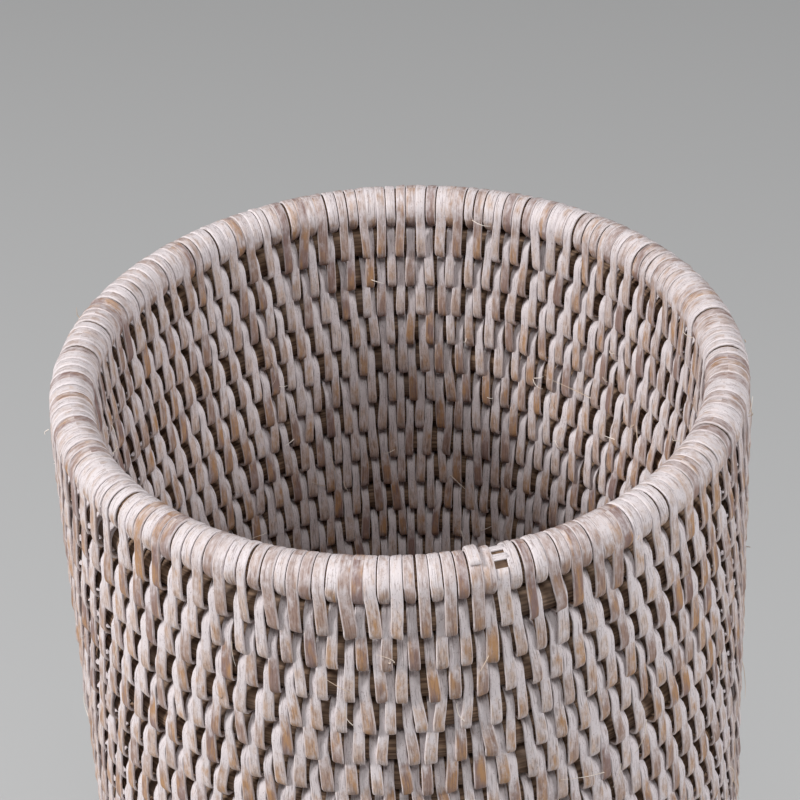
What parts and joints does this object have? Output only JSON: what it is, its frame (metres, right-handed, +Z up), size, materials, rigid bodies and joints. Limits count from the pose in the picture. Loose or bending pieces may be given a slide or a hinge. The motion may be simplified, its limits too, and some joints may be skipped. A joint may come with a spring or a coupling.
{
  "type": "toilet roll storage holder",
  "caption": "Tall round open-topped holder of coiled rattan hoops lashed with whitewashed cane strip, for storing a stack of toilet rolls.",
  "frame": {"origin": "on the floor, at the middle of the foot ring", "axes": "+Z is up along the round body's axis; X and Y are level"},
  "size_m": [0.1666, 0.1666, 0.3783],
  "materials": {
    "rattan_core": "matt, fibrous",
    "whitewashed_cane": "matt whitewash, worn to tan in places"
  },
  "bodies": {
    "root": {"foot_rod": "rattan_core", "wall_rod_01": "rattan_core", "wall_rod_02": "rattan_core", "wall_rod_03": "rattan_core", "wall_rod_04": "rattan_core", "wall_rod_05": "rattan_core", "wall_rod_06": "rattan_core", "wall_rod_07": "rattan_core", "wall_rod_08": "rattan_core", "wall_rod_09": "rattan_core", "wall_rod_10": "rattan_core", "wall_rod_11": "rattan_core", "wall_rod_12": "rattan_core", "wall_rod_13": "rattan_core", "wall_rod_14": "rattan_core", "wall_rod_15": "rattan_core", "wall_rod_16": "rattan_core", "wall_rod_17": "rattan_core", "wall_rod_18": "rattan_core", "wall_rod_19": "rattan_core", "wall_rod_20": "rattan_core", "wall_rod_21": "rattan_core", "wall_rod_22": "rattan_core", "wall_rod_23": "rattan_core", "wall_rod_24": "rattan_core", "wall_rod_25": "rattan_core", "wall_rod_26": "rattan_core", "wall_rod_27": "rattan_core", "wall_rod_28": "rattan_core", "wall_rod_29": "rattan_core", "wall_rod_30": "rattan_core", "wall_rod_31": "rattan_core", "wall_rod_32": "rattan_core", "wall_rod_33": "rattan_core", "wall_rod_34": "rattan_core", "wall_rod_35": "rattan_core", "wall_rod_36": "rattan_core", "wall_rod_37": "rattan_core", "wall_rod_38": "rattan_core", "wall_rod_39": "rattan_core", "rim_rod": "rattan_core", "base_rod_1": "rattan_core", "base_rod_2": "rattan_core", "base_rod_3": "rattan_core", "base_rod_4": "rattan_core", "base_rod_5": "rattan_core", "base_rod_6": "rattan_core", "base_rod_7": "rattan_core", "base_centre": "rattan_core", "foot_lashing": "whitewashed_cane", "wall_lashing": "whitewashed_cane", "rim_lashing": "whitewashed_cane", "base_lashing": "whitewashed_cane"}
  },
  "joints": []
}
